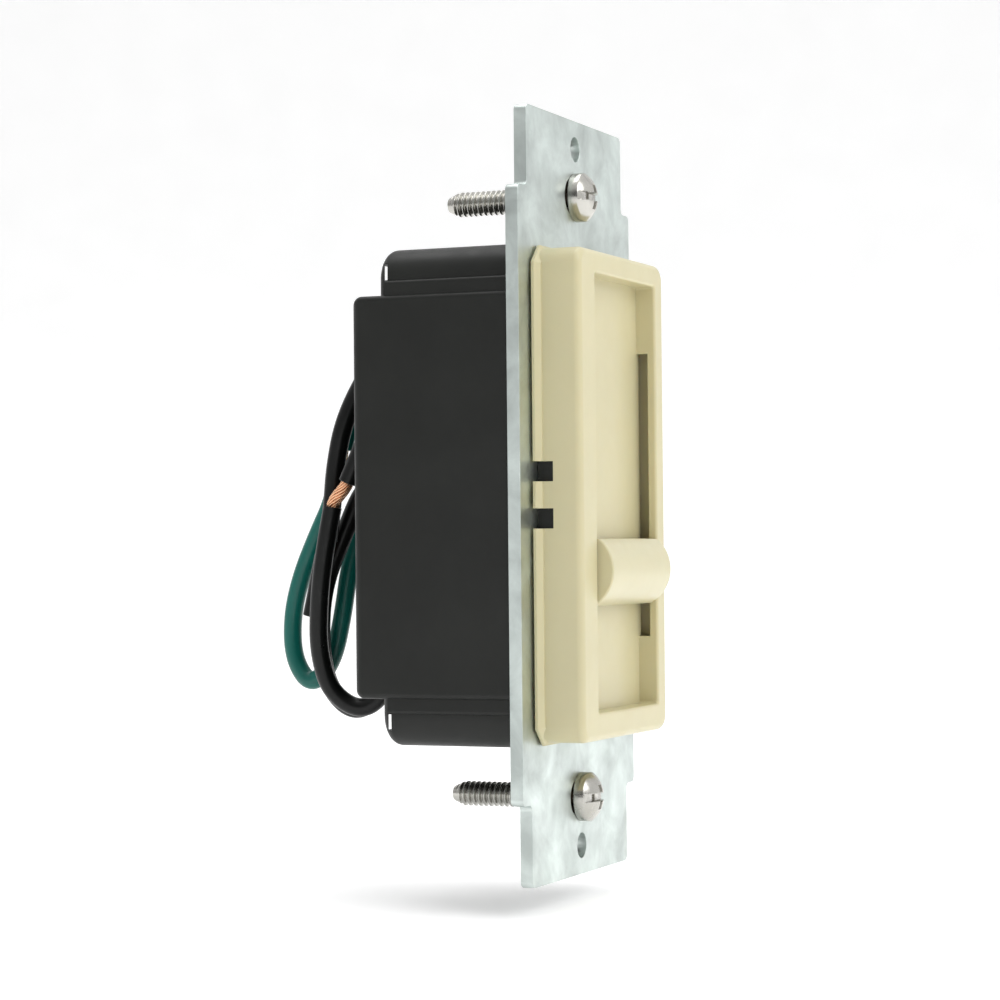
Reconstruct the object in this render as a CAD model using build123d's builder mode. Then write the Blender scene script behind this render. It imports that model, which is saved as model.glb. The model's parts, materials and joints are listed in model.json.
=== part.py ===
"""Slide dimmer switch for a single wall box: strap, bezel, slider, housing, works and lead wires.

Millimetres. +Z is up along the strap, the front faces -Y and +X is to the right seen from the front.
The origin is the centre of the two wall-box screws, on the rear face of the strap.
"""

from build123d import *
import math
import os

# ---------------------------------------------------------------- driving dimensions
STRAP_T = 1.8
FRONT = -STRAP_T  # front face of the strap
STRAP_LENGTH = 104.8
STRAP_WIDE = 42.6
STRAP_NARROW = 36.2
STRAP_WIDE_HEIGHT = 82.6
PLATE_HOLE_SPACING = 96.84  # wall-plate screws, 3.812 in
PLATE_HOLE_R = 1.75
SCREW_SPACING = 83.34  # wall-box screws, 3.281 in
SCREW_SLOT = (8.2, 5.0)  # oblong hole, width and height
RIVET_POINTS = [(-13.0, 29.6), (13.0, 29.6), (-13.0, -29.6), (13.0, -29.6)]
TRIAC_POINT = (-8.0, 22.0)
GROUND_POINT = (-8.0, -27.0)
RIVET_R = 1.2
RIVET_HEAD_R = 2.1
RIVET_HEAD_T = 0.7

BEZEL_W = 33.2
BEZEL_H = 66.4
BEZEL_FRONT = -8.7
BEZEL_CORNER = 2.3
BEZEL_WALL = 1.1
FLANGE_W = 35.2
FLANGE_H = 67.2
FLANGE_CORNER = 2.4  # cut off at 45 degrees
FLANGE_FRONT = -3.2
BASE_GAP = 0.3  # shadow line between flange and strap
RECESS_X = (-10.8, 13.0)
RECESS_Z = (-29.4, 30.0)
FLOOR_Y = -5.8  # front surface of the recess floor
PAN_T = 1.0
SLOT_Z = (-19.8, 20.5)  # slot in the right recess wall
SLOT_FRONT = -7.5
NOTCH_Z = (1.8, 4.5)
NOTCH_FRONT = -4.6

KNOB_REST_Z = -10.5
KNOB_HALF = 4.65
KNOB_GAP = 0.3
STEM_HALF = 2.0
CARRIAGE_X = (14.4, 15.1)
CARRIAGE_BACK = 3.2
SLIDE_SLOT = (14.0, 15.5)
SLIDE_SLOT_HALF = 23.0

BODY_W = 42.0
BODY_H = 54.6
BODY_DEPTH = 23.1
BODY_EDGE = 1.4  # rounding of the housing's rear edges
SHOULDER_W = 40.0
SHOULDER_H = 67.7
SHOULDER_DEPTH = 19.5
SHOULDER_CORNER = 4.4
SHOULDER_EDGE = 1.6
LEDGE_W = 41.0  # step between the shoulders and the deep middle
LEDGE_H = 58.6
LEDGE_DEPTH = 18.2
LEDGE_EDGE = 0.5
WALL = 1.6

BOARD_Y = 9.0
BOARD_T = 1.6
BOARD_BACK = BOARD_Y + BOARD_T

SHANK_R = 1.755  # 6-32 screw, plain at its outer diameter
SHANK_TIP = 17.3
HEAD_R = 3.4
HEAD_RIM = 1.35
HEAD_DOME = 1.65
RUNNING_GAP = 0.05
NECK_R = 1.35  # plain neck under the head, on which the retaining washer runs
NECK_END = 0.9

LEAD_D = 2.65
LEAD_R = LEAD_D / 2
CORE_R = 0.95
LEAD_HOLE_R = LEAD_R + 0.1
TAIL_END = BODY_DEPTH - 2.5  # where a solder tail meets its lead, just inside the rear wall
SLUG_LENGTH = 9.0
KNEE = 0.3  # share of the bare strands' reach that is straight at each end


def save(name, piece):
    """Label a finished piece and write it as its own STEP file."""
    piece.part.label = name
    export_step(piece.part, f"parts/{name}.step")


def posts(points, radius, y_from, y_to, mode=Mode.ADD):
    """Round bars along Y at the given (x, z) points, added to or cut from the open part."""
    with BuildSketch(Plane.XZ.offset(-y_from)) as discs:
        with Locations(*points):
            Circle(radius)
    extrude(to_extrude=discs.sketch, amount=-(y_to - y_from), mode=mode)


def slab(x_span, y_span, z_span, corner=0.0, mode=Mode.ADD):
    """A block between two corners, its edges along Y rounded when a corner radius is given."""
    width, height = x_span[1] - x_span[0], z_span[1] - z_span[0]
    middle = ((x_span[0] + x_span[1]) / 2, (z_span[0] + z_span[1]) / 2)
    with BuildSketch(Plane.XZ.offset(-y_span[0])) as face:
        with Locations(middle):
            if corner > 0:
                RectangleRounded(width, height, corner)
            else:
                Rectangle(width, height)
    extrude(to_extrude=face.sketch, amount=-(y_span[1] - y_span[0]), mode=mode)


def around(middle, half):
    """Span of the given half width around a middle."""
    return (middle - half, middle + half)


os.makedirs("parts", exist_ok=True)

# ---------------------------------------------------------------- strap
with BuildPart() as strap:
    slab(around(0, STRAP_NARROW / 2), (FRONT, 0), around(0, STRAP_LENGTH / 2))
    slab(around(0, STRAP_WIDE / 2), (FRONT, 0), around(0, STRAP_WIDE_HEIGHT / 2))
    outer = strap.edges().filter_by(Axis.Y).filter_by(lambda e: abs(e.center().X) > 15)
    fillet(outer, radius=0.9)
    plate_holes = [(0, PLATE_HOLE_SPACING / 2), (0, -PLATE_HOLE_SPACING / 2)]
    posts(plate_holes, PLATE_HOLE_R, FRONT, 0, mode=Mode.SUBTRACT)
    with BuildSketch(Plane.XZ.offset(STRAP_T)) as screw_slots:
        with Locations((0, SCREW_SPACING / 2), (0, -SCREW_SPACING / 2)):
            SlotOverall(*SCREW_SLOT)
    extrude(to_extrude=screw_slots.sketch, amount=-STRAP_T, mode=Mode.SUBTRACT)
    slab(SLIDE_SLOT, (FRONT, 0), around(0, SLIDE_SLOT_HALF), mode=Mode.SUBTRACT)
    posts([*RIVET_POINTS, TRIAC_POINT, GROUND_POINT], RIVET_R, FRONT, 0, mode=Mode.SUBTRACT)
save("mounting_strap", strap)

# ---------------------------------------------------------------- housing
LEAD_EXITS = {"near": (12.0, -18.0), "far": (3.6, -10.0), "ground": (16.4, -10.0)}
BOSS_R = 2.8
BOSS_DEPTH = 5.0
SLIT_Z = (29.4, 31.6)  # a slit passes behind the rear corner edges of both shoulders
SLIT_RISE = 0.42  # how far back it runs for each millimetre across
SLIT_T = 0.5

with BuildPart() as housing:
    slab(around(0, SHOULDER_W / 2), (0, SHOULDER_DEPTH), around(0, SHOULDER_H / 2), SHOULDER_CORNER)
    fillet(housing.faces().sort_by(Axis.Y)[-1].edges(), radius=SHOULDER_EDGE)
    slab(around(0, LEDGE_W / 2), (0, LEDGE_DEPTH), around(0, LEDGE_H / 2), LEDGE_EDGE)
    slab(around(0, BODY_W / 2), (0, BODY_DEPTH), around(0, BODY_H / 2), 0.8)
    fillet(housing.faces().sort_by(Axis.Y)[-1].edges(), radius=BODY_EDGE)
    slab(around(0, SHOULDER_W / 2 - WALL), (0, SHOULDER_DEPTH - WALL), around(0, SHOULDER_H / 2 - WALL),
         SHOULDER_CORNER - WALL, mode=Mode.SUBTRACT)
    slab(around(0, BODY_W / 2 - WALL), (0, BODY_DEPTH - WALL), around(0, BODY_H / 2 - WALL), 0.8,
         mode=Mode.SUBTRACT)
    posts(LEAD_EXITS.values(), LEAD_HOLE_R, BODY_DEPTH - WALL, BODY_DEPTH, mode=Mode.SUBTRACT)
    for side in (-1, 1):
        for z in (SLIT_Z[0], -SLIT_Z[1]):
            near_y, reach = SHOULDER_DEPTH - 1.6, 5.6
            with BuildSketch(Plane.XY.offset(z)) as slit:
                with BuildLine():
                    edge_x, end_x = side * (SHOULDER_W / 2 + 0.6), side * (SHOULDER_W / 2 + 0.6 - reach)
                    far_y = near_y + SLIT_RISE * reach
                    Polyline((edge_x, near_y - 0.25), (end_x, far_y - 0.25), (end_x, far_y - 0.25 + SLIT_T),
                             (edge_x, near_y - 0.25 + SLIT_T), (edge_x, near_y - 0.25))
                make_face()
            extrude(to_extrude=slit.sketch, amount=SLIT_Z[1] - SLIT_Z[0], mode=Mode.SUBTRACT)
    posts(RIVET_POINTS, BOSS_R, 0, BOSS_DEPTH)
    posts(RIVET_POINTS, RIVET_R, 0, BOSS_DEPTH, mode=Mode.SUBTRACT)
save("back_housing", housing)

with BuildPart() as rivets:
    posts(RIVET_POINTS, RIVET_R, FRONT, BOSS_DEPTH)
    posts(RIVET_POINTS, RIVET_HEAD_R, FRONT - RIVET_HEAD_T, FRONT)
    posts(RIVET_POINTS, RIVET_HEAD_R, BOSS_DEPTH, BOSS_DEPTH + RIVET_HEAD_T)
save("housing_rivets", rivets)

# ---------------------------------------------------------------- bezel and its carrier
with BuildPart() as bezel:
    with BuildSketch(Plane.XZ.offset(-FLANGE_FRONT)) as flange:
        Rectangle(FLANGE_W, FLANGE_H)
        chamfer(flange.vertices(), length=FLANGE_CORNER)
    extrude(to_extrude=flange.sketch, amount=-(FRONT - BASE_GAP - FLANGE_FRONT))
    chamfer(bezel.faces().sort_by(Axis.Y)[0].edges(), length=0.7)
    slab(around(0, BEZEL_W / 2), (BEZEL_FRONT, FRONT - BASE_GAP), around(0, BEZEL_H / 2), BEZEL_CORNER)
    fillet(bezel.faces().sort_by(Axis.Y)[0].edges(), radius=1.0)
    slab(around(0, BEZEL_W / 2 - 0.5), (FRONT - BASE_GAP, FRONT), around(0, BEZEL_H / 2 - 0.5), 1.8)
    slab(around(0, BEZEL_W / 2 - BEZEL_WALL), (BEZEL_FRONT + BEZEL_WALL, FRONT),
         around(0, BEZEL_H / 2 - BEZEL_WALL), 1.2, mode=Mode.SUBTRACT)
    slab((RECESS_X[0] - PAN_T, RECESS_X[1] + PAN_T), (BEZEL_FRONT + BEZEL_WALL, FLOOR_Y + PAN_T),
         (RECESS_Z[0] - PAN_T, RECESS_Z[1] + PAN_T))
    slab(RECESS_X, (BEZEL_FRONT, FLOOR_Y), RECESS_Z, 0.4, mode=Mode.SUBTRACT)
    rim = bezel.faces().sort_by(Axis.Y)[0].inner_wires()[0].edges()
    fillet(rim, radius=0.4)
    slab((RECESS_X[1] - 0.1, RECESS_X[1] + PAN_T), (SLOT_FRONT, FLOOR_Y), SLOT_Z,
         mode=Mode.SUBTRACT)
    for side in (-1, 1):
        notch = sorted((side * NOTCH_Z[0], side * NOTCH_Z[1]))
        slab((-FLANGE_W / 2, 1.0 - BEZEL_W / 2 + BEZEL_WALL), (NOTCH_FRONT, FRONT), notch, mode=Mode.SUBTRACT)
save("bezel", bezel)

with BuildPart() as carrier:
    slab((-15.2, 13.4), (NOTCH_FRONT, FRONT), around(0, 26.0), 1.0)
    slab((-10.6, 9.0), (NOTCH_FRONT, FRONT), around(0, 21.0), 1.0, mode=Mode.SUBTRACT)
    posts([TRIAC_POINT, GROUND_POINT], RIVET_HEAD_R + 0.4, FRONT - RIVET_HEAD_T - 0.3, FRONT,
          mode=Mode.SUBTRACT)
    for z in (-20.0, 0.0, 20.0):
        slab((-15.45, -15.2), (-3.6, -2.6), around(z, 1.4))
save("bezel_carrier", carrier)

# ---------------------------------------------------------------- slider
KNOB_BACK = FLOOR_Y - KNOB_GAP
KNOB_LENGTH = (RECESS_X[0] + KNOB_GAP, RECESS_X[1] - KNOB_GAP)

with BuildPart() as knob:
    with BuildSketch(Plane.YZ.offset(KNOB_LENGTH[0])) as knob_profile:
        with BuildLine():
            bottom_back = (KNOB_BACK, KNOB_REST_Z - KNOB_HALF)
            top_back = (KNOB_BACK, KNOB_REST_Z + KNOB_HALF)
            top_lip = (-8.9, KNOB_REST_Z + KNOB_HALF - 0.1)
            bulge = (-10.85, KNOB_REST_Z + 0.5)
            bottom_lip = (-7.9, KNOB_REST_Z - KNOB_HALF + 0.1)
            Polyline(bottom_lip, bottom_back, top_back, top_lip)
            ThreePointArc(top_lip, bulge, bottom_lip)
        make_face()
    extrude(amount=KNOB_LENGTH[1] - KNOB_LENGTH[0])
    fillet(knob.edges().filter_by(GeomType.CIRCLE), radius=0.3)
    slab((KNOB_LENGTH[1] - 0.5, CARRIAGE_X[0]), (SLOT_FRONT + 0.2, FLOOR_Y - 0.2), around(KNOB_REST_Z, STEM_HALF))
save("slide_knob", knob)

TAB_X = 8.6
with BuildPart() as carriage:
    slab(CARRIAGE_X, (SLOT_FRONT + 0.2, CARRIAGE_BACK), around(KNOB_REST_Z, STEM_HALF))
    slab((TAB_X, CARRIAGE_X[0]), (0.5, 1.3), around(KNOB_REST_Z, 1.0))
save("slide_carriage", carriage)

# ---------------------------------------------------------------- slide potentiometer
POT_X = (11.2, 18.4)
POT_HALF = 26.5
POT_FRONT = 1.9
POT_SKIN = 0.5
TRACK_T = 0.5
track_front = BOARD_Y - POT_SKIN - TRACK_T

with BuildPart() as pot_can:
    slab(POT_X, (POT_FRONT, BOARD_Y), around(0, POT_HALF), 0.6)
    slab((POT_X[0] + POT_SKIN, POT_X[1] - POT_SKIN), (POT_FRONT + POT_SKIN, BOARD_Y - POT_SKIN),
         around(0, POT_HALF - POT_SKIN), mode=Mode.SUBTRACT)
    slab(SLIDE_SLOT, (POT_FRONT, POT_FRONT + POT_SKIN), around(0, 23.5), mode=Mode.SUBTRACT)
save("potentiometer_can", pot_can)

with BuildPart() as pot_track:
    slab((POT_X[0] + 1.0, POT_X[1] - 1.0), (track_front, track_front + TRACK_T), around(0, 25.4))
save("potentiometer_track", pot_track)

with BuildPart() as wiper_block:
    slab((12.4, 17.2), (CARRIAGE_BACK, 6.2), around(KNOB_REST_Z, 3.2), 0.4)
save("wiper_block", wiper_block)

with BuildPart() as wiper:
    for x in (13.4, 16.2):
        slab(around(x, 0.6), (6.2, 6.5), around(KNOB_REST_Z, 2.6))
        slab(around(x, 0.6), (6.5, track_front - RUNNING_GAP), (KNOB_REST_Z + 1.6, KNOB_REST_Z + 2.6))
save("wiper_contacts", wiper)

# ---------------------------------------------------------------- circuit board and its components
with BuildPart() as board:
    slab(around(0, 18.6), (BOARD_Y, BOARD_BACK), around(0, 25.2), 0.6)
save("circuit_board", board)

TRIAC_X = around(TRIAC_POINT[0], 5.0)
PAD_T = 0.25
TAB_T = 1.3
with BuildPart() as triac_pad:
    slab((TRIAC_X[0] - 1, TRIAC_X[1] + 1), (0, PAD_T), (7.0, 26.0))
    posts([TRIAC_POINT], RIVET_R, 0, PAD_T, mode=Mode.SUBTRACT)
save("triac_insulator", triac_pad)

with BuildPart() as triac_tab:
    slab(TRIAC_X, (PAD_T, PAD_T + TAB_T), (8.5, 24.7), 0.6)
    posts([TRIAC_POINT], RIVET_R, PAD_T, PAD_T + TAB_T, mode=Mode.SUBTRACT)
save("triac_tab", triac_tab)

with BuildPart() as triac_body:
    slab(TRIAC_X, (PAD_T + TAB_T, 4.75), (8.5, 17.5))
    chamfer(triac_body.faces().sort_by(Axis.Y)[-1].edges(), length=0.6)
save("triac_body", triac_body)

with BuildPart() as triac_legs:
    for x in (-10.54, -8.0, -5.46):
        slab(around(x, 0.4), (2.4, 2.9), (5.5, 8.5))
        slab(around(x, 0.4), (2.4, BOARD_Y), (5.0, 5.5))
save("triac_legs", triac_legs)

with BuildPart() as triac_rivet:
    posts([TRIAC_POINT], RIVET_R, FRONT, PAD_T + TAB_T)
    posts([TRIAC_POINT], RIVET_HEAD_R, FRONT - RIVET_HEAD_T, FRONT)
    posts([TRIAC_POINT], RIVET_HEAD_R, PAD_T + TAB_T, PAD_T + TAB_T + RIVET_HEAD_T)
save("triac_rivet", triac_rivet)

CHOKE = (-8.4, -13.6)
CHOKE_R = (4.6, 8.4)
CHOKE_Y = (12.2, 18.0)
WINDING_T = 1.1
with BuildPart() as choke_core:
    posts([CHOKE], CHOKE_R[1], *CHOKE_Y)
    posts([CHOKE], CHOKE_R[0], *CHOKE_Y, mode=Mode.SUBTRACT)
save("choke_core", choke_core)

with BuildPart() as choke_winding:
    posts([CHOKE], CHOKE_R[1] + WINDING_T, CHOKE_Y[0] - WINDING_T, CHOKE_Y[1] + WINDING_T)
    fillet(choke_winding.edges().filter_by(GeomType.CIRCLE), radius=1.0)
    posts([CHOKE], CHOKE_R[0] - WINDING_T, CHOKE_Y[0] - WINDING_T, CHOKE_Y[1] + WINDING_T, mode=Mode.SUBTRACT)
    posts([CHOKE], CHOKE_R[1], *CHOKE_Y, mode=Mode.SUBTRACT)
    posts([CHOKE], CHOKE_R[0], *CHOKE_Y)
    posts([CHOKE], CHOKE_R[0] - WINDING_T, *CHOKE_Y, mode=Mode.SUBTRACT)
    slab((CHOKE[0] + 1.0, CHOKE[0] + 12), (CHOKE_Y[0] - 2, CHOKE_Y[1] + 2), around(CHOKE[1], 1.6),
         mode=Mode.SUBTRACT)
save("choke_winding", choke_winding)

with BuildPart() as choke_clip:
    slab(around(CHOKE[0], 1.6), (BOARD_BACK, CHOKE_Y[0] - WINDING_T), around(CHOKE[1], 8.0), 0.4)
save("choke_pad", choke_clip)

with BuildPart() as film_capacitor:
    slab((-17.4, 0.2), (BOARD_BACK, 19.6), (4.0, 12.8), 0.6)
    fillet(film_capacitor.faces().sort_by(Axis.Y)[-1].edges(), radius=0.5)
save("film_capacitor", film_capacitor)

with BuildPart() as timing_capacitor:
    slab((-16.0, -8.6), (BOARD_BACK, 17.0), (16.4, 21.6), 0.6)
    fillet(timing_capacitor.faces().sort_by(Axis.Y)[-1].edges(), radius=0.5)
save("timing_capacitor", timing_capacitor)


def axial_component(x_middle, z, body_half, body_r):
    """A component lying along X on the back of the board, its wire ends bent down into it."""
    lift = BOARD_BACK + body_r + 0.3
    wire_half = body_half + 2.0
    with BuildSketch(Plane.YZ.offset(x_middle - body_half)) as body_end:
        with Locations((lift, z)):
            Circle(body_r)
    extrude(to_extrude=body_end.sketch, amount=2 * body_half)
    slab(around(x_middle, wire_half), around(lift, 0.3), around(z, 0.3))
    for x in (x_middle - wire_half, x_middle + wire_half):
        slab(around(x, 0.3), (BOARD_BACK, lift + 0.3), around(z, 0.3))


with BuildPart() as diac:
    axial_component(8.6, 22.6, 1.9, 0.95)
save("diac", diac)

with BuildPart() as resistors:
    for z in (10.0, 14.0, 18.2):
        axial_component(8.6, z, 3.1, 1.15)
save("resistors", resistors)

# ---------------------------------------------------------------- on-off switch worked by the slider
PIVOT = (3.2, -23.0)  # Y and Z of the switch arm's pin, which lies along X
PIN_R = 0.6
ARM_X = (5.4, 9.9)
EYE_R = 1.3

with BuildPart() as switch_arm:
    with BuildSketch(Plane.YZ.offset(ARM_X[0])):
        with BuildLine():
            Polyline((2.4, -23.6), (0.5, -20.4), (0.5, -19.2), (1.3, -19.2), (1.3, -20.2), (3.8, -22.2),
                     (5.8, -24.6), (5.4, -25.2), (2.4, -23.6))
        make_face()
        with Locations(PIVOT):
            Circle(EYE_R)
            Circle(PIN_R + 0.05, mode=Mode.SUBTRACT)
    extrude(amount=ARM_X[1] - ARM_X[0])
save("switch_arm", switch_arm)

with BuildPart() as switch_pin:
    with BuildSketch(Plane.YZ.offset(4.2)):
        with Locations(PIVOT):
            Circle(PIN_R)
    extrude(amount=6.7)
save("switch_pin", switch_pin)

with BuildPart() as switch_bracket:
    for x in (4.2, 10.2):
        slab((x, x + 0.7), (PIVOT[0] - 1.2, BOARD_Y), around(PIVOT[1], 1.2))
    with BuildSketch(Plane.YZ.offset(4.0)) as pin_bore:
        with Locations(PIVOT):
            Circle(PIN_R)
    extrude(to_extrude=pin_bore.sketch, amount=8.0, mode=Mode.SUBTRACT)
save("switch_bracket", switch_bracket)

with BuildPart() as fixed_contact:
    slab((2.6, 3.6), (3.9, BOARD_Y), (-25.0, -24.2))
    slab((2.6, 8.0), (3.9, 4.3), (-25.8, -24.95))
save("fixed_contact", fixed_contact)

# ---------------------------------------------------------------- grounding
with BuildPart() as ground_terminal:
    slab(around(GROUND_POINT[0], 2.2), (0, 0.6), (-29.0, -23.8), 0.5)
    slab(around(GROUND_POINT[0], 1.5), (0.6, BOARD_Y), (-24.4, -23.8))
    posts([GROUND_POINT], RIVET_R, 0, 0.6, mode=Mode.SUBTRACT)
save("ground_terminal", ground_terminal)

with BuildPart() as ground_rivet:
    posts([GROUND_POINT], RIVET_R, FRONT, 0.6)
    posts([GROUND_POINT], RIVET_HEAD_R, FRONT - RIVET_HEAD_T, FRONT)
    posts([GROUND_POINT], RIVET_HEAD_R, 0.6, 0.6 + RIVET_HEAD_T)
save("ground_rivet", ground_rivet)

# ---------------------------------------------------------------- wall-box screws
SCREW_Z = {"upper": SCREW_SPACING / 2, "lower": -SCREW_SPACING / 2}
UNDER_HEAD = FRONT - RUNNING_GAP
RIM_FRONT = UNDER_HEAD - HEAD_RIM
DOME_FRONT = RIM_FRONT - HEAD_DOME


for place, screw_z in SCREW_Z.items():
    with BuildPart() as screw:
        with BuildSketch(Plane.XY.offset(screw_z)):
            with BuildLine():
                Polyline((HEAD_R, RIM_FRONT), (HEAD_R, UNDER_HEAD), (NECK_R, UNDER_HEAD),
                         (NECK_R, NECK_END), (SHANK_R, NECK_END), (SHANK_R, SHANK_TIP - 1.6),
                         (SHANK_R - 0.7, SHANK_TIP), (0, SHANK_TIP), (0, DOME_FRONT))
                ThreePointArc((0, DOME_FRONT), (HEAD_R * 0.55, RIM_FRONT - 0.75 * HEAD_DOME),
                              (HEAD_R, RIM_FRONT))
            make_face()
        revolve(axis=Axis((0, 0, screw_z), (0, 1, 0)))
        slab(around(0, HEAD_R + 0.5), (DOME_FRONT - 0.1, DOME_FRONT + 1.3), around(screw_z, 0.55), mode=Mode.SUBTRACT)
        slab(around(0, 0.5), (DOME_FRONT - 0.1, DOME_FRONT + 1.7), around(screw_z, 1.7), mode=Mode.SUBTRACT)
    save(f"wall_screw_{place}", screw)

with BuildPart() as retainers:
    ends = [(0, z) for z in SCREW_Z.values()]
    posts(ends, 3.6, 0, 0.6)
    posts(ends, NECK_R + RUNNING_GAP, 0, 0.6, mode=Mode.SUBTRACT)
save("screw_retainers", retainers)

# ---------------------------------------------------------------- lead wires
with BuildPart() as tails:
    posts(LEAD_EXITS.values(), CORE_R, BOARD_BACK, TAIL_END)
save("lead_solder_tails", tails)

# Each lead leaves the rear wall, is folded up behind the housing and ends in a stripped tip:
# a short stretch of bare strands with the cut slug of insulation left on beyond it.
LEADS = {
    "near": {
        "route": [(12.0, TAIL_END, -18.0), (12.0, 24.4, -18.0), (12.2, 26.0, -14.6), (12.0, 25.6, -8.0),
                  (11.4, 25.0, 2.0), (12.0, 25.0, 12.0), (10.4, 25.0, 20.0), (4.8, 25.0, 24.4),
                  (-1.0, 25.0, 20.0), (-2.8, 25.0, 12.0), (-2.2, 25.2, 2.0), (-2.9, 25.0, -8.0),
                  (-2.5, 25.2, -18.0), (-2.8, 25.6, -25.6), (-3.6, 29.6, -30.4), (-5.0, 34.4, -27.6),
                  (-6.0, 35.8, -21.6), (-6.6, 35.4, -15.0), (-7.0, 34.4, -8.0), (-7.0, 32.9, -1.0)],
        "slug": [(-7.0, 30.5, 2.4), (-6.8, 26.8, 10.4)],
    },
    "far": {
        "route": [(3.6, TAIL_END, -10.0), (3.6, 25.4, -10.0), (3.6, 28.6, -13.8), (3.4, 28.8, -20.4),
                  (2.6, 29.4, -27.4), (0.8, 33.2, -31.0), (-0.8, 37.0, -27.0), (-1.1, 38.0, -19.6),
                  (-1.1, 37.3, -12.0), (-1.0, 34.0, -4.8), (-0.4, 31.3, 1.8), (5.8, 28.3, 6.8),
                  (8.2, 28.2, 13.6), (6.6, 28.2, 21.0), (2.0, 28.4, 24.8), (-2.6, 28.8, 19.0),
                  (-3.9, 32.4, 11.8), (-3.9, 34.0, 4.8), (-4.0, 34.4, -1.0), (-4.1, 35.1, -5.8)],
        "slug": [(-4.2, 35.7, -7.8), (-4.3, 37.5, -15.9)],
    },
    "ground": {
        "route": [(16.4, TAIL_END, -10.0), (16.4, 27.4, -10.0), (16.2, 31.4, -6.2), (16.4, 31.8, 2.0),
                  (15.8, 31.6, 10.4), (15.0, 31.6, 18.4), (10.8, 31.7, 22.6), (6.8, 31.6, 17.2),
                  (6.4, 31.6, 8.0), (3.8, 32.4, -0.6), (1.9, 34.5, -8.6), (2.0, 35.8, -16.6),
                  (2.1, 37.5, -23.4), (2.1, 41.0, -27.0), (2.3, 44.0, -23.2), (2.4, 44.3, -17.0),
                  (2.4, 42.8, -11.0), (2.4, 40.0, -4.8), (2.4, 37.2, 0.6), (2.4, 36.2, 5.6)],
        "slug": [(2.4, 35.8, 7.6), (2.4, 33.0, 16.0)],
    },
}


def corner_radii(route):
    """As large an arc at each corner as its two straight runs allow."""
    radii = []
    for before, corner, after in zip(route, route[1:], route[2:]):
        run_in, run_out = Vector(*corner) - Vector(*before), Vector(*after) - Vector(*corner)
        half_turn = math.radians(run_in.get_angle(run_out)) / 2
        radii.append(0.45 * min(run_in.length, run_out.length) / math.tan(half_turn))
    return radii


def between(start, end, distance):
    """The point at a distance from start on the way to end."""
    step = (Vector(*end) - Vector(*start)).normalized() * distance
    return tuple(Vector(*start) + step)


def strand_route(route, slug_start, slug_tip):
    """Bare strands leave the insulation straight on and enter the slug straight in."""
    straight = KNEE * (Vector(*slug_start) - Vector(*route[-1])).length
    knee_out = between(route[-1], mirror_point(route[-2], route[-1]), straight)
    knee_in = between(slug_start, mirror_point(slug_tip, slug_start), straight)
    return [route[-1], knee_out, knee_in, slug_start]


def mirror_point(point, centre):
    """The point as far beyond the centre as the given one is before it."""
    return tuple(2 * c - p for p, c in zip(point, centre))


for lead_name, lead in LEADS.items():
    route, (slug_start, slug_tip) = lead["route"], lead["slug"]
    radii = corner_radii(route)
    with BuildPart() as insulation:
        with BuildLine() as centre:
            FilletPolyline(*route, radius=radii)
        with BuildSketch(Plane(origin=route[0], z_dir=(0, 1, 0))):
            Circle(LEAD_R)
        sweep(path=centre.wires()[0])
    save(f"{lead_name}_lead", insulation)
    length = centre.wires()[0].length
    print(lead_name, "length", round(length, 1), "volume ratio",
          round(insulation.part.volume / (length * math.pi * LEAD_R**2), 4),
          "radii", [round(r, 1) for r in radii])

    bare = strand_route(route, slug_start, slug_tip)
    with BuildPart() as strands:
        with BuildLine() as bare_line:
            FilletPolyline(*bare, radius=corner_radii(bare))
        with BuildSketch(Plane(origin=bare[0], z_dir=Vector(*bare[1]) - Vector(*bare[0]))):
            Circle(CORE_R)
        sweep(path=bare_line.wires()[0])
    save(f"{lead_name}_lead_strands", strands)

    with BuildPart() as slug:
        with BuildSketch(Plane(origin=slug_start, z_dir=Vector(*slug_tip) - Vector(*slug_start))):
            Circle(LEAD_R)
        extrude(amount=SLUG_LENGTH)
    save(f"{lead_name}_lead_slug", slug)
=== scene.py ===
"""Looks of the slide dimmer switch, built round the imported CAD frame. Metres, in the row frame."""

import json
import math
import random

import bmesh
import bpy
from mathutils import Matrix, Vector


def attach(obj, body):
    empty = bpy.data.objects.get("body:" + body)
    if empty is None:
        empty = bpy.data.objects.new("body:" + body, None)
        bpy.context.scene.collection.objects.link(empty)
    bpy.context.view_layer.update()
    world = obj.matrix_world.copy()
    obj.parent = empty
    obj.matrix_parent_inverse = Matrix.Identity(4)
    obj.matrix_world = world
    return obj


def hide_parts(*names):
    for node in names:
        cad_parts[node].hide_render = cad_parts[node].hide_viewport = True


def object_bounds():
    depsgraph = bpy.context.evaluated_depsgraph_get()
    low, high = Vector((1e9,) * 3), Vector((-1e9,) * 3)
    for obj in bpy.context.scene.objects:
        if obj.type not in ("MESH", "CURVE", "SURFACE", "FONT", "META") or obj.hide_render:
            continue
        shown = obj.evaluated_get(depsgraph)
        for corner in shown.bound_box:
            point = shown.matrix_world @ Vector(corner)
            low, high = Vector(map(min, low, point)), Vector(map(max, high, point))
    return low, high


MM = 0.001
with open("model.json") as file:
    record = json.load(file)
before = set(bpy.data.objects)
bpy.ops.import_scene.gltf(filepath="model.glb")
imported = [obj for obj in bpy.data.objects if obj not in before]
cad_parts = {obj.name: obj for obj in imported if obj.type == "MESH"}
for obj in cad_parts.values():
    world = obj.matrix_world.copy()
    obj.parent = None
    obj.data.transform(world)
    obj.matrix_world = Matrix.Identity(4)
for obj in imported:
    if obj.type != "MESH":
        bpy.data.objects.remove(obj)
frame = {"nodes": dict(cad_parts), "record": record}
CAD_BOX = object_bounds()
NODES = frame["nodes"]
ROOT = "root"
random.seed(7)


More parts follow.
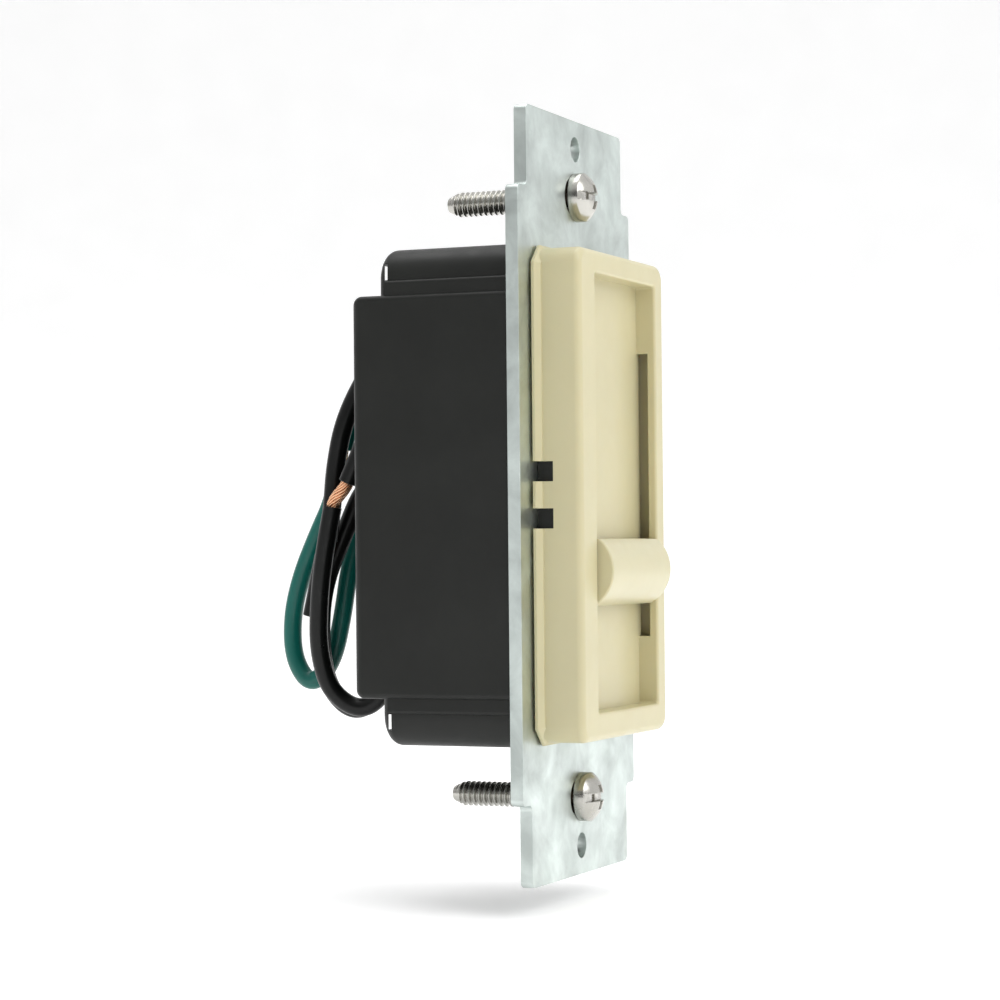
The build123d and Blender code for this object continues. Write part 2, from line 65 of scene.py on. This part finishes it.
# ---------------------------------------------------------------- camera
CAMERA_TURN = (-67.163, 0.971, -0.535)  # azimuth, elevation and roll, degrees
CAMERA_PLACE = (-359.75, -141.42, -6.90)
SENSOR_WIDTH = 36
LENS = 99.74


def photo_camera():
    """A long lens, level with the device, seen from its front left."""
    azimuth, elevation, roll = (math.radians(a) for a in CAMERA_TURN)
    ahead = Vector((-math.sin(azimuth) * math.cos(elevation),
                    math.cos(azimuth) * math.cos(elevation), math.sin(elevation)))
    level = ahead.cross(Vector((0, 0, 1))).normalized()
    upward = level.cross(ahead)
    right = math.cos(roll) * level + math.sin(roll) * upward
    up = -math.sin(roll) * level + math.cos(roll) * upward
    data = bpy.data.cameras.new("camera")
    data.sensor_width = SENSOR_WIDTH
    data.lens = LENS
    data.clip_start, data.clip_end = 0.01, 20
    camera = bpy.data.objects.new("camera", data)
    bpy.context.scene.collection.objects.link(camera)
    turn = Matrix((right, up, -ahead)).transposed().to_4x4()
    camera.matrix_world = Matrix.Translation(Vector(CAMERA_PLACE) * MM) @ turn
    bpy.context.scene.camera = camera
    return ahead


AHEAD = photo_camera()


# ---------------------------------------------------------------- materials
def new_material(name):
    material = bpy.data.materials.new(name)
    material.use_nodes = True
    return material, material.node_tree, material.node_tree.nodes["Principled BSDF"]


def noise(tree, coords, scale, detail=4.0, roughness=0.55, distortion=0.0):
    node = tree.nodes.new("ShaderNodeTexNoise")
    node.inputs["Scale"].default_value = scale
    node.inputs["Detail"].default_value = detail
    node.inputs["Roughness"].default_value = roughness
    node.inputs["Distortion"].default_value = distortion
    tree.links.new(coords, node.inputs["Vector"])
    return node.outputs["Fac"]


def object_coords(tree, stretch=None):
    """Object coordinates, stretched by a factor along each axis when one is given."""
    coords = tree.nodes.new("ShaderNodeTexCoord").outputs["Object"]
    if stretch is None:
        return coords
    mapping = tree.nodes.new("ShaderNodeMapping")
    mapping.inputs["Scale"].default_value = stretch
    tree.links.new(coords, mapping.inputs["Vector"])
    return mapping.outputs["Vector"]


def ramp(tree, fac, stops):
    """A colour ramp over (position, colour or grey) stops."""
    node = tree.nodes.new("ShaderNodeValToRGB")
    elements = node.color_ramp.elements
    while len(elements) < len(stops):
        elements.new(0.5)
    for element, (position, value) in zip(elements, stops):
        element.position = position
        rgb = value if isinstance(value, tuple) else (value,) * 3
        element.color = (*rgb, 1)
    tree.links.new(fac, node.inputs["Fac"])
    return node.outputs["Color"]


def bump(tree, shader, heights):
    """Stacked bumps, each (height socket, strength, distance in metres)."""
    normal = None
    for height, strength, distance in heights:
        node = tree.nodes.new("ShaderNodeBump")
        node.inputs["Strength"].default_value = strength
        node.inputs["Distance"].default_value = distance
        tree.links.new(height, node.inputs["Height"])
        if normal is not None:
            tree.links.new(normal, node.inputs["Normal"])
        normal = node.outputs["Normal"]
    tree.links.new(normal, shader.inputs["Normal"])


def linear(*srgb):
    """Linear colour of an 8-bit sRGB one."""
    return tuple(((c / 255 + 0.055) / 1.055) ** 2.4 if c > 10 else c / 255 / 12.92 for c in srgb)


def plastic(name, colour, roughness, grain=1.0, variation=0.06, soft=0.0, coat=0.0, shine=0.5):
    """A moulded plastic: slight mottling, a fine skin grain and a faint flow unevenness."""
    material, tree, shader = new_material(name)
    coords = object_coords(tree)
    mottle = noise(tree, coords, 90, 5)
    darker = tuple(c * (1 - variation) for c in colour)
    lighter = tuple(min(1, c * (1 + variation)) for c in colour)
    tree.links.new(ramp(tree, mottle, [(0.3, darker), (0.7, lighter)]), shader.inputs["Base Color"])
    scuff = noise(tree, coords, 420, 3)
    tree.links.new(ramp(tree, scuff, [(0.25, roughness * 0.85), (0.75, roughness * 1.15)]),
                   shader.inputs["Roughness"])
    if soft:
        shader.inputs["Subsurface Weight"].default_value = soft
        shader.inputs["Subsurface Radius"].default_value = (1.0, 0.6, 0.3)
        shader.inputs["Subsurface Scale"].default_value = 0.0012
    shader.inputs["Specular IOR Level"].default_value = shine
    shader.inputs["Coat Weight"].default_value = coat
    shader.inputs["Coat Roughness"].default_value = 0.2
    skin = noise(tree, coords, 5200, 2)
    flow = noise(tree, coords, 160, 2)
    bump(tree, shader, [(skin, 0.12 * grain, 0.00004), (flow, 0.10, 0.0001)])
    return material


def metal(name, colour, roughness, blotch=0.12, brushed=None, grain=1.0):
    """A plated or plain metal with uneven brightness, faint scratches and a fine tooth."""
    material, tree, shader = new_material(name)
    coords = object_coords(tree)
    cloud = noise(tree, coords, 130, 6, 0.6, 0.4)
    darker = tuple(c * (1 - blotch) for c in colour)
    lighter = tuple(min(1, c * (1 + blotch)) for c in colour)
    tree.links.new(ramp(tree, cloud, [(0.32, darker), (0.68, lighter)]), shader.inputs["Base Color"])
    shader.inputs["Metallic"].default_value = 1.0
    haze = noise(tree, coords, 300, 4)
    tree.links.new(ramp(tree, haze, [(0.3, roughness * 0.75), (0.7, roughness * 1.25)]),
                   shader.inputs["Roughness"])
    tooth = noise(tree, object_coords(tree, brushed) if brushed else coords, 2600, 3)
    dents = noise(tree, coords, 220, 3)
    bump(tree, shader, [(tooth, 0.10 * grain, 0.00003), (dents, 0.14, 0.0001)])
    return material


IVORY = linear(203, 195, 157)
MATERIALS = {
    "strap_metal": metal("strap_metal", (0.61, 0.67, 0.645), 0.40, 0.20, brushed=(1, 1, 0.06), grain=1.2),
    "black_housing": plastic("black_housing", (0.0125, 0.0135, 0.012), 0.42, 1.6, 0.15, shine=0.27),
    "black_plastic": plastic("black_plastic", (0.012, 0.012, 0.011), 0.45, 1.2, 0.2),
    "ivory": plastic("ivory", IVORY, 0.36, 0.8, 0.025, soft=0.15, coat=0.15),
    "ivory_knob": plastic("ivory_knob", linear(205, 198, 162), 0.34, 0.8, 0.025, soft=0.15, coat=0.15),
    "tin_plate": metal("tin_plate", (0.62, 0.62, 0.60), 0.38, 0.12),
    "phenolic": plastic("phenolic", (0.30, 0.17, 0.07), 0.55, 1.6, 0.2),
    "white_nylon": plastic("white_nylon", (0.78, 0.76, 0.70), 0.45, 1.0, 0.04, soft=0.2),
    "brass": metal("brass", (0.80, 0.58, 0.26), 0.3, 0.12),
    "mica": plastic("mica", (0.55, 0.52, 0.45), 0.4, 1.0, 0.1),
    "ferrite": plastic("ferrite", (0.05, 0.05, 0.055), 0.6, 2.0, 0.2),
    "copper_enamel": metal("copper_enamel", (0.62, 0.24, 0.08), 0.28, 0.15),
    "capacitor_case": plastic("capacitor_case", (0.42, 0.07, 0.02), 0.3, 1.2, 0.12, coat=0.4),
    "glass_diode": plastic("glass_diode", (0.05, 0.12, 0.32), 0.25, 0.6, 0.1, coat=0.5),
    "resistor_body": plastic("resistor_body", (0.60, 0.42, 0.22), 0.4, 1.0, 0.08, coat=0.2),
    "screw_steel": metal("screw_steel", (0.50, 0.49, 0.455), 0.26, 0.16, grain=1.6),
    # fibre_washer: the dark washer under each wall-box screw head is painted shade; its dark colour stands
    # in for the shaded side wall of the head
    "fibre_washer": plastic("fibre_washer", (0.10, 0.06, 0.04), 0.7, 2.5, 0.25),
    "copper": metal("copper", (0.90, 0.50, 0.30), 0.26, 0.18),
    "black_insulation": plastic("black_insulation", (0.0035, 0.004, 0.0038), 0.32, 1.2, 0.2, shine=0.28),
    "band_brown": plastic("band_brown", (0.10, 0.035, 0.015), 0.35),
    "band_black": plastic("band_black", (0.01, 0.01, 0.01), 0.35),
    "band_orange": plastic("band_orange", (0.80, 0.22, 0.02), 0.35),
    "green_insulation": plastic("green_insulation", linear(10, 100, 90), 0.34, 1.2, 0.12, shine=0.4),
}
SLOT_OF = {piece["node"]: piece["material_slot"] for piece in frame["record"]["subparts"]}


def finish_piece(obj, node, body):
    """Give a piece its material slot and body, and let it stand for its CAD node."""
    obj.data.materials.clear()
    obj.data.materials.append(MATERIALS[SLOT_OF[node]])
    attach(obj, body)
    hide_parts(node)
    return obj


def add_object(name, data):
    obj = bpy.data.objects.new(name, data)
    bpy.context.scene.collection.objects.link(obj)
    return obj


BODY_OF = {node: body for body, nodes in frame["record"]["behaviour"]["bodies"].items() for node in nodes}
JOIN_DISTANCE = 2e-6  # metres
FLAT_ANGLE = 0.4  # degrees


def cad_shape(node):
    """A bmesh of a CAD node's own mesh, its triangles joined into whole flat faces."""
    shape = bmesh.new()
    shape.from_mesh(NODES[node].data)
    bmesh.ops.remove_doubles(shape, verts=shape.verts, dist=JOIN_DISTANCE)
    bmesh.ops.dissolve_limit(shape, angle_limit=math.radians(FLAT_ANGLE),
                             verts=shape.verts, edges=shape.edges)
    return shape


def round_edges(obj, width, segments, angle):
    """Round the edges sharper than the angle, in degrees."""
    rounding = obj.modifiers.new("rounding", "BEVEL")
    rounding.width = width
    rounding.segments = segments
    rounding.limit_method = "ANGLE"
    rounding.angle_limit = math.radians(angle)


def softened(node, width):
    """A copy of a CAD node's own shape with its sharp edges slightly rounded, to stand for it."""
    mesh = NODES[node].data.copy()
    shape = cad_shape(node)
    shape.to_mesh(mesh)
    shape.free()
    mesh.shade_smooth()
    obj = add_object(f"{node}_shape", mesh)
    round_edges(obj, width, 3, 32)
    # large flat faces keep their own normal, so that they don't show false shading
    flat_faces = obj.modifiers.new("flat_faces", "WEIGHTED_NORMAL")
    flat_faces.weight = 100
    flat_faces.keep_sharp = False
    return finish_piece(obj, node, BODY_OF[node])


# ---------------------------------------------------------------- mesh helpers
def tube_rings(shape, points, radius, sides=8):
    """A round tube of the given radius along a line of points, added to a bmesh."""
    points = [Vector(point) for point in points]
    forward = (points[1] - points[0]).normalized()
    across = forward.orthogonal().normalized()
    rings = []
    for i, point in enumerate(points):
        tangent = (points[min(i + 1, len(points) - 1)] - points[max(i - 1, 0)]).normalized()
        across = (across - tangent * across.dot(tangent)).normalized()
        other = tangent.cross(across)
        rings.append([shape.verts.new(point + radius * (math.cos(2 * math.pi * k / sides) * across
                                                        + math.sin(2 * math.pi * k / sides) * other))
                      for k in range(sides)])
    for a, b in zip(rings, rings[1:]):
        for k in range(sides):
            shape.faces.new((a[k], a[(k + 1) % sides], b[(k + 1) % sides], b[k]))
    shape.faces.new(rings[0][::-1])
    shape.faces.new(rings[-1])


def lathe(shape, profile, origin, axis, sides=32):
    """Turn a profile of (distance along, radius) points about an axis; radius 0 closes an end."""
    axis = Vector(axis).normalized()
    across = axis.orthogonal().normalized()
    other = axis.cross(across)
    rings = []
    for along, radius in profile:
        centre = Vector(origin) + axis * along
        if radius == 0:
            rings.append([shape.verts.new(centre)])
        else:
            rings.append([shape.verts.new(centre + radius * (math.cos(2 * math.pi * k / sides) * across
                                                             + math.sin(2 * math.pi * k / sides) * other))
                          for k in range(sides)])
    faces = []
    for a, b in zip(rings, rings[1:]):
        for k in range(sides):
            n = (k + 1) % sides
            corners = ([a[0]] if len(a) == 1 else [a[k], a[n]]) + ([b[0]] if len(b) == 1 else [b[n], b[k]])
            faces.append(shape.faces.new(corners))
    return faces


def mesh_piece(name, shape, smooth_angle=40):
    """An object from a bmesh, smooth except across edges sharper than the angle."""
    bmesh.ops.recalc_face_normals(shape, faces=shape.faces)
    mesh = bpy.data.meshes.new(name)
    shape.to_mesh(mesh)
    shape.free()
    mesh.shade_smooth()
    mesh.set_sharp_from_angle(angle=math.radians(smooth_angle))
    return add_object(name, mesh)


# ---------------------------------------------------------------- leads
LEAD_D = 2.65
STRAND_R = 0.185
STRAND_RING = 0.36  # spacing of the rings of strands round the middle one
STRAND_LAY = 11.0  # length of one twist
SLUG_BORE_R = 0.93
SLUG_EDGE = 0.1
TAIL_END = 20.6
SLUG_LENGTH = 9.0
LEADS = {
    "near": {
        "route": [(12.0, TAIL_END, -18.0), (12.0, 24.4, -18.0), (12.2, 26.0, -14.6), (12.0, 25.6, -8.0),
                  (11.4, 25.0, 2.0), (12.0, 25.0, 12.0), (10.4, 25.0, 20.0), (4.8, 25.0, 24.4),
                  (-1.0, 25.0, 20.0), (-2.8, 25.0, 12.0), (-2.2, 25.2, 2.0), (-2.9, 25.0, -8.0),
                  (-2.5, 25.2, -18.0), (-2.8, 25.6, -25.6), (-3.6, 29.6, -30.4), (-5.0, 34.4, -27.6),
                  (-6.0, 35.8, -21.6), (-6.6, 35.4, -15.0), (-7.0, 34.4, -8.0), (-7.0, 32.9, -1.0)],
        "slug": [(-7.0, 30.5, 2.4), (-6.8, 26.8, 10.4)],
        "length": 137.9,
    },
    "far": {
        "route": [(3.6, TAIL_END, -10.0), (3.6, 25.4, -10.0), (3.6, 28.6, -13.8), (3.4, 28.8, -20.4),
                  (2.6, 29.4, -27.4), (0.8, 33.2, -31.0), (-0.8, 37.0, -27.0), (-1.1, 38.0, -19.6),
                  (-1.1, 37.3, -12.0), (-1.0, 34.0, -4.8), (-0.4, 31.3, 1.8), (5.8, 28.3, 6.8),
                  (8.2, 28.2, 13.6), (6.6, 28.2, 21.0), (2.0, 28.4, 24.8), (-2.6, 28.8, 19.0),
                  (-3.9, 32.4, 11.8), (-3.9, 34.0, 4.8), (-4.0, 34.4, -1.0), (-4.1, 35.1, -5.8)],
        "slug": [(-4.2, 35.7, -7.8), (-4.3, 37.5, -15.9)],
        "length": 122.7,
    },
    "ground": {
        "route": [(16.4, TAIL_END, -10.0), (16.4, 27.4, -10.0), (16.2, 31.4, -6.2), (16.4, 31.8, 2.0),
                  (15.8, 31.6, 10.4), (15.0, 31.6, 18.4), (10.8, 31.7, 22.6), (6.8, 31.6, 17.2),
                  (6.4, 31.6, 8.0), (3.8, 32.4, -0.6), (1.9, 34.5, -8.6), (2.0, 35.8, -16.6),
                  (2.1, 37.5, -23.4), (2.1, 41.0, -27.0), (2.3, 44.0, -23.2), (2.4, 44.3, -17.0),
                  (2.4, 42.8, -11.0), (2.4, 40.0, -4.8), (2.4, 37.2, 0.6), (2.4, 36.2, 5.6)],
        "slug": [(2.4, 35.8, 7.6), (2.4, 33.0, 16.0)],
        "length": 127.5,
    },
}


def insulated_lead(name, route):
    """The tube of insulation, swept along the lead's own route."""
    data = bpy.data.curves.new(f"{name}_lead_tube", "CURVE")
    data.dimensions = "3D"
    data.bevel_depth = LEAD_D / 2 * MM
    data.bevel_resolution = 8
    data.resolution_u = 16
    data.use_fill_caps = True
    spline = data.splines.new("NURBS")
    spline.points.add(len(route) - 1)
    for point, place in zip(spline.points, route):
        point.co = (*(Vector(place) * MM), 1)
    spline.order_u = 3
    spline.use_endpoint_u = True
    return finish_piece(add_object(f"{name}_lead_tube", data), f"{name}_lead", ROOT)


def stripped_strands(name, route, slug):
    """Bare copper strands in a twisted bundle, from inside the insulation on through the cut slug."""
    end, before = Vector(route[-1]), Vector(route[-2])
    start, tip = Vector(slug[0]), Vector(slug[1])
    out, onward = (end - before).normalized(), (tip - start).normalized()
    reach = (start - end).length
    line = [end - out * 1.5]
    for i in range(9):
        t = i / 8
        bend = (2 * t**3 - 3 * t**2 + 1, t**3 - 2 * t**2 + t, -2 * t**3 + 3 * t**2, t**3 - t**2)
        line.append(end * bend[0] + out * reach * bend[1] + start * bend[2] + onward * reach * bend[3])
    line += [start + onward * step for step in (1.5, 3.5, 5.5, 7.5, SLUG_LENGTH - 0.15)]
    places = [(0.0, 0.0)]
    places += [(STRAND_RING, math.tau * k / 6) for k in range(6)]
    places += [(2 * STRAND_RING, math.tau * (k + 0.5) / 12) for k in range(12)]
    shape = bmesh.new()
    for ring_r, first_angle in places:
        across, gone, path = out.orthogonal().normalized(), 0.0, []
        for i, point in enumerate(line):
            tangent = (line[min(i + 1, len(line) - 1)] - line[max(i - 1, 0)]).normalized()
            across = (across - tangent * across.dot(tangent)).normalized()
            other = tangent.cross(across)
            if i:
                gone += (point - line[i - 1]).length
            bare = 1 <= i <= 9
            angle = first_angle + math.tau * gone / STRAND_LAY + (random.uniform(-0.06, 0.06) if bare else 0)
            spread = ring_r * (1 + (0.10 * math.sin(math.pi * (i - 1) / 8) if bare else 0))
            path.append((point + spread * (math.cos(angle) * across + math.sin(angle) * other)) * MM)
        tube_rings(shape, path, STRAND_R * MM)
    return finish_piece(mesh_piece(f"{name}_lead_bare_strands", shape, 60), f"{name}_lead_strands", ROOT)


def cut_slug(name, slug):
    """The short sleeve of insulation left on the end of the strands, hollow so that they show in it."""
    start, tip = Vector(slug[0]) * MM, Vector(slug[1]) * MM
    outer, inner, edge = LEAD_D / 2 * MM, SLUG_BORE_R * MM, SLUG_EDGE * MM
    length = SLUG_LENGTH * MM
    profile = [(0, inner), (0, outer - edge), (edge, outer), (length - edge, outer), (length, outer - edge),
               (length, inner), (length / 2, inner), (0, inner)]
    shape = bmesh.new()
    lathe(shape, profile, start, tip - start, 40)
    bmesh.ops.remove_doubles(shape, verts=shape.verts, dist=1e-7)
    return finish_piece(mesh_piece(f"{name}_lead_cut_slug", shape), f"{name}_lead_slug", ROOT)


for lead_name, lead in LEADS.items():
    tube = insulated_lead(lead_name, lead["route"])
    strands = stripped_strands(lead_name, lead["route"], lead["slug"])
    slug = cut_slug(lead_name, lead["slug"])

# ---------------------------------------------------------------- wall-box screws
SCREW_Z = 41.67
PITCH = 25.4 / 32
CREST_R, ROOT_R, NECK_R = 1.755, 1.30, 1.35
THREAD_Y = (0.45, 17.3)
THREAD_FROM = 0.9
POINT = 1.6


def thread_radius(y, turn):
    """Radius of a unified thread at a distance along it and a share of a turn round it."""
    phase = (y / PITCH - turn) % 1.0
    height = min(1.0, max(0.0, (abs(phase - 0.5) * 2 - 0.18) / 0.62))
    fade = min(1.0, max(0.0, (y - THREAD_FROM) / 0.35))
    radius = NECK_R + (ROOT_R + (CREST_R - ROOT_R) * height - NECK_R) * fade
    taper = max(0.0, y - (THREAD_Y[1] - POINT)) / POINT
    return min(radius, CREST_R - 0.7 * taper)


def wall_screw(place, z):
    """The CAD head and neck with softened edges, and a real 6-32 thread on the shank."""
    node = f"wall_screw_{place}"
    shape = cad_shape(node)
    cut_y = THREAD_Y[0] + 0.15
    bmesh.ops.bisect_plane(shape, geom=shape.verts[:] + shape.edges[:] + shape.faces[:],
                           plane_co=(0, cut_y * MM, 0), plane_no=(0, 1, 0), clear_outer=True)
    rim = [e for e in shape.edges if e.is_boundary]
    bmesh.ops.edgeloop_fill(shape, edges=rim)
    sides, per_pitch = 40, 10
    rows = int((THREAD_Y[1] - THREAD_Y[0]) / PITCH * per_pitch) + 1
    rings = []
    for row in range(rows):
        y = min(THREAD_Y[0] + row * PITCH / per_pitch, THREAD_Y[1])
        if row == rows - 1:
            y = THREAD_Y[1]
        ring = []
        for k in range(sides):
            turn = k / sides
            radius = thread_radius(y, turn)
            angle = math.tau * turn
            place_on_ring = Vector((radius * math.cos(angle), y, z + radius * math.sin(angle)))
            ring.append(shape.verts.new(place_on_ring * MM))
        rings.append(ring)
    for a, b in zip(rings, rings[1:]):
        for k in range(sides):
            shape.faces.new((a[k], a[(k + 1) % sides], b[(k + 1) % sides], b[k]))
    shape.faces.new(rings[0][::-1])
    shape.faces.new(rings[-1])
    obj = mesh_piece(f"{node}_threaded", shape, 50)
    round_edges(obj, 0.07 * MM, 2, 60)
    return finish_piece(obj, node, BODY_OF[node])


for place, z in (("upper", SCREW_Z), ("lower", -SCREW_Z)):
    wall_screw(place, z)


# ---------------------------------------------------------------- works in the housing
def choke_turns():
    """The choke's wire, wound round its ring core, with a gap at one side."""
    centre, low, high = Vector((-8.4, 0, -13.6)), 12.2, 18.0
    inner, outer, wire = 4.6, 8.4, 0.45
    middle_r, half_r = (inner + outer) / 2, (outer - inner) / 2 + wire + 0.05
    middle_y, half_y = (low + high) / 2, (high - low) / 2 + wire + 0.05
    turns, steps = 40, 20
    path = []
    for i in range(turns * steps + 1):
        share = i / (turns * steps)
        around = math.radians(14 + 332 * share)
        wind = math.tau * turns * share
        c, w = math.cos(wind), math.sin(wind)
        r = middle_r + half_r * math.copysign(abs(c) ** 0.35, c)
        y = middle_y + half_y * math.copysign(abs(w) ** 0.35, w)
        path.append(Vector((centre.x + r * math.cos(around), y, centre.z + r * math.sin(around))) * MM)
    shape = bmesh.new()
    tube_rings(shape, path, wire * 0.52 * MM * 0.9, 6)
    finish_piece(mesh_piece("choke_turns", shape, 60), "choke_winding", ROOT)


def banded_resistors():
    """Resistor bodies with swollen ends, colour bands and wire ends bent down to the board."""
    shape = bmesh.new()
    body_r, lift, wire = 1.12, 10.6 + 1.15 + 0.3, 0.29
    profile = [(-3.05, 0.0), (-3.05, 0.62), (-2.85, 0.98), (-2.4, body_r), (-1.9, 1.08)]
    profile += [(along, 0.98) for along in (-1.6, -1.2, -0.8, -0.4, 0.0, 0.4, 0.8, 1.6)]
    profile += [(1.9, 1.08), (2.4, body_r), (2.85, 0.98), (3.05, 0.62), (3.05, 0.0)]
    bands = {6: 1, 8: 2, 10: 3, 3: 1}
    for z in (10.0, 14.0, 18.2):
        scaled = [(a * MM, r * MM) for a, r in profile]
        faces = lathe(shape, scaled, Vector((8.6, lift, z)) * MM, (1, 0, 0), 32)
        for i, face in enumerate(faces):
            face.material_index = bands.get(i // 32, 0)
        for side in (-1, 1):
            corners = ((2.9, lift), (4.4, lift), (4.8, lift - 0.1),
                       (5.05, lift - 0.4), (5.1, 11.3), (5.1, 10.65))
            bend = [Vector((8.6 + side * x, y, z)) * MM for x, y in corners]
            before = len(shape.faces)
            tube_rings(shape, bend, wire * MM, 10)
            shape.faces.ensure_lookup_table()
            for face in shape.faces[before:]:
                face.material_index = 4
    obj = finish_piece(mesh_piece("banded_resistors", shape), "resistors", ROOT)
    for name in ("band_brown", "band_black", "band_orange"):
        obj.data.materials.append(MATERIALS[name])
    obj.data.materials.append(MATERIALS["tin_plate"])


choke_turns()
banded_resistors()

# ---------------------------------------------------------------- every other piece, with worked edges
USUAL_EDGE = 0.07
EDGE = {"mounting_strap": 0.22, "back_housing": 0.25, "bezel": 0.12, "slide_knob": 0.12,
        "housing_rivets": 0.35, "triac_rivet": 0.3, "ground_rivet": 0.3, "choke_core": 0.5,
        "film_capacitor": 0.35, "timing_capacitor": 0.35, "triac_body": 0.15, "triac_insulator": 0.04,
        "potentiometer_track": 0.05, "circuit_board": 0.08}
for node in list(NODES):
    if not NODES[node].hide_render:
        softened(node, EDGE.get(node, USUAL_EDGE) * MM)

# ---------------------------------------------------------------- stage
FLOOR_Z = CAD_BOX[0][2] - 0.004


def stage():
    """A pale sheet of paper that curves up behind the device."""
    material, tree, shader = new_material("studio_paper")
    coords = object_coords(tree)
    paper = ramp(tree, noise(tree, coords, 30), [(0.3, 0.92), (0.7, 0.95)])
    tree.links.new(paper, shader.inputs["Base Color"])
    shader.inputs["Roughness"].default_value = 0.9
    shader.inputs["Emission Color"].default_value = (1, 1, 1, 1)
    shader.inputs["Emission Strength"].default_value = 0.24
    bump(tree, shader, [(noise(tree, coords, 900), 0.05, 0.0001)])
    centre = Vector((0, 0.01, FLOOR_Z))
    back = Vector((AHEAD.x, AHEAD.y, 0)).normalized()
    side = Vector((back.y, -back.x, 0))
    near, bend_start, bend_r, top, half_width = -3.0, 1.2, 0.8, 3.5, 4
    profile = [(near, 0.0), (bend_start, 0.0)]
    for i in range(1, 17):
        angle = math.radians(90 * i / 16)
        profile.append((bend_start + bend_r * math.sin(angle), bend_r * (1 - math.cos(angle))))
    profile.append((bend_start + bend_r, top))
    shape = bmesh.new()
    rows = []
    for run, height in profile:
        middle = centre + back * run
        rows.append([shape.verts.new(middle + side * s + Vector((0, 0, height)))
                     for s in (-half_width, half_width)])
    for a, b in zip(rows, rows[1:]):
        shape.faces.new((a[0], a[1], b[1], b[0]))
    mesh = bpy.data.meshes.new("backdrop")
    shape.to_mesh(mesh)
    shape.free()
    mesh.shade_smooth()
    mesh.materials.append(material)
    backdrop = add_object("backdrop", mesh)


def area_light(name, place, size, power):
    """A square soft light aimed at the origin."""
    data = bpy.data.lights.new(name, "AREA")
    data.shape = "RECTANGLE"
    data.size, data.size_y = size, size
    data.energy = power
    light = add_object(name, data)
    light.location = place
    light.rotation_euler = (-Vector(place)).to_track_quat("-Z", "Y").to_euler()


def studio_world():
    """White tent: bright above and at the front right, dimmer at the left where the camera is."""
    world = bpy.data.worlds.new("studio")
    bpy.context.scene.world = world
    world.use_nodes = True
    tree = world.node_tree
    background = tree.nodes["Background"]
    background.inputs["Color"].default_value = (1, 1, 1, 1)
    direction = tree.nodes.new("ShaderNodeTexCoord").outputs["Generated"]
    toward = tree.nodes.new("ShaderNodeVectorMath")
    toward.operation = "DOT_PRODUCT"
    tree.links.new(direction, toward.inputs[0])
    toward.inputs[1].default_value = Vector((0.62, -0.45, 0.64)).normalized()
    share = tree.nodes.new("ShaderNodeMapRange")
    share.inputs["From Min"].default_value = -0.9
    share.inputs["From Max"].default_value = 0.9
    share.inputs["To Min"].default_value = 0.42
    share.inputs["To Max"].default_value = 0.92
    tree.links.new(toward.outputs["Value"], share.inputs["Value"])
    # an unlit part of the room at the left, which the metal's sides and the leads mirror
    dark_side = tree.nodes.new("ShaderNodeVectorMath")
    dark_side.operation = "DOT_PRODUCT"
    tree.links.new(direction, dark_side.inputs[0])
    dark_side.inputs[1].default_value = Vector((-0.92, -0.38, -0.05)).normalized()
    dimming = tree.nodes.new("ShaderNodeMapRange")
    dimming.interpolation_type = "SMOOTHSTEP"
    dimming.inputs["From Min"].default_value = 0.72
    dimming.inputs["From Max"].default_value = 0.95
    dimming.inputs["To Min"].default_value = 1.0
    dimming.inputs["To Max"].default_value = 0.12
    tree.links.new(dark_side.outputs["Value"], dimming.inputs["Value"])
    strength = tree.nodes.new("ShaderNodeMath")
    strength.operation = "MULTIPLY"
    tree.links.new(share.outputs["Result"], strength.inputs[0])
    tree.links.new(dimming.outputs["Result"], strength.inputs[1])
    tree.links.new(strength.outputs["Value"], background.inputs["Strength"])


stage()
studio_world()
bpy.context.scene.view_settings.view_transform = "Standard"
area_light("key", (-0.35, -0.95, 0.75), 0.7, 4.4)
area_light("top", (0.1, 0.1, 1.1), 0.9, 6.0)
